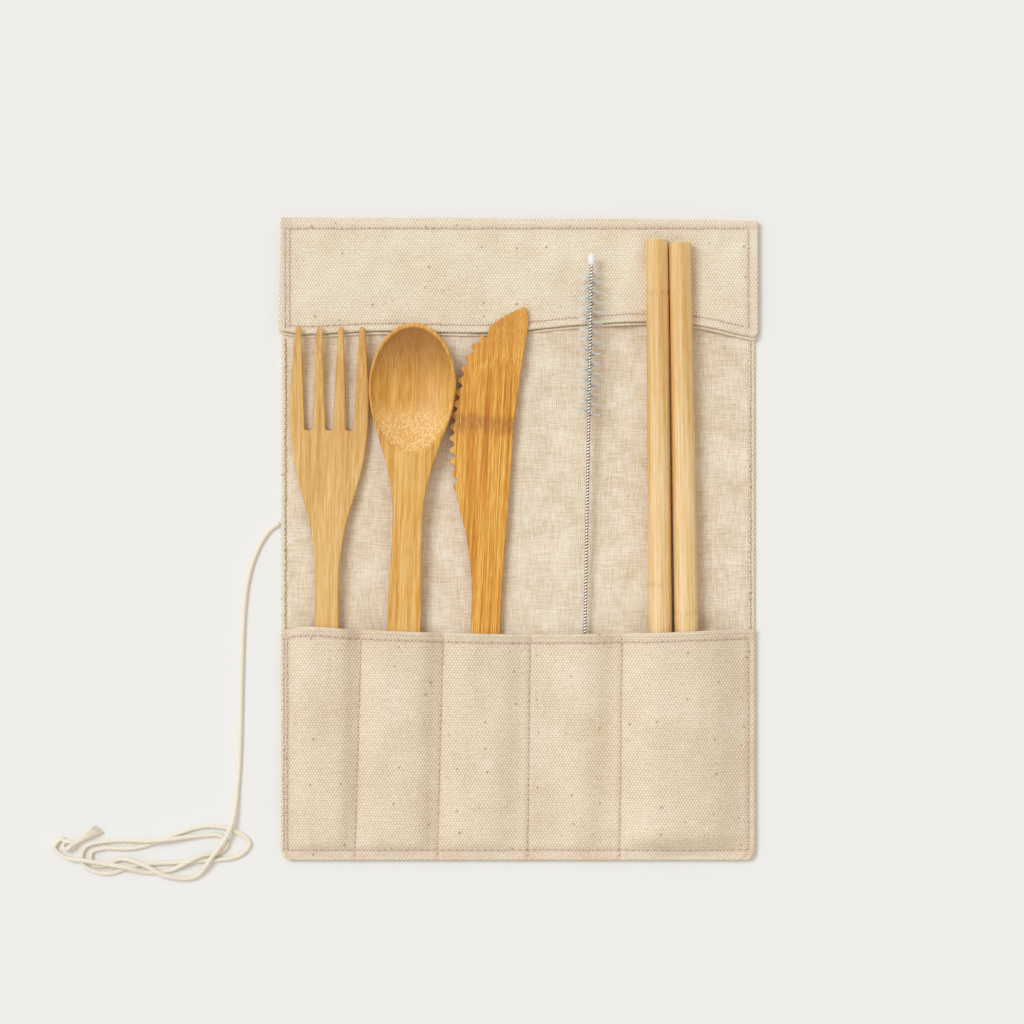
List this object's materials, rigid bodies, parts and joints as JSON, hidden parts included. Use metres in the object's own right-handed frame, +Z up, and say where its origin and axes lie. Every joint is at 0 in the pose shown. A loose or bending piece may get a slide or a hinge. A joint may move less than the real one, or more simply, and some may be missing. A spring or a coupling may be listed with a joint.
{
  "type": "bamboo cutlery roll",
  "caption": "Open canvas cutlery roll lying flat, with a bamboo fork, spoon and knife, a straw brush and bamboo straws in sewn pockets, a flap and a tie cord.",
  "frame": {"origin": "on the surface that the roll lies on, under the centre of the cloth", "axes": "+X to the right across the pockets, +Y from the pocket seam towards the flap, +Z up"},
  "size_m": [0.2689, 0.2527, 0.0143],
  "materials": {
    "canvas": "unbleached cotton canvas, plain weave",
    "fine_cotton": "fine plain-woven cotton",
    "light_bamboo": "sanded bamboo, light",
    "golden_bamboo": "sanded bamboo, golden",
    "streaked_bamboo": "sanded bamboo, streaked",
    "pale_bamboo": "whole bamboo cane, smoothed",
    "steel_wire": "twisted stainless wire",
    "nylon": "clear nylon bristle",
    "white_plastic": "white plastic tip",
    "cotton_cord": "twisted cotton cord"
  },
  "bodies": {
    "root": {"back_canvas": "canvas", "lining": "fine_cotton", "flap_lining": "fine_cotton", "flap_canvas": "canvas", "pocket_canvas": "canvas", "fork": "light_bamboo", "spoon": "golden_bamboo", "knife": "streaked_bamboo", "brush_wire": "steel_wire", "brush_bristles": "nylon", "brush_tip": "white_plastic", "straw_left": "pale_bamboo", "straw_right": "pale_bamboo", "tie_cord": "cotton_cord", "cord_knot": "cotton_cord", "cord_tail": "cotton_cord"}
  },
  "joints": []
}
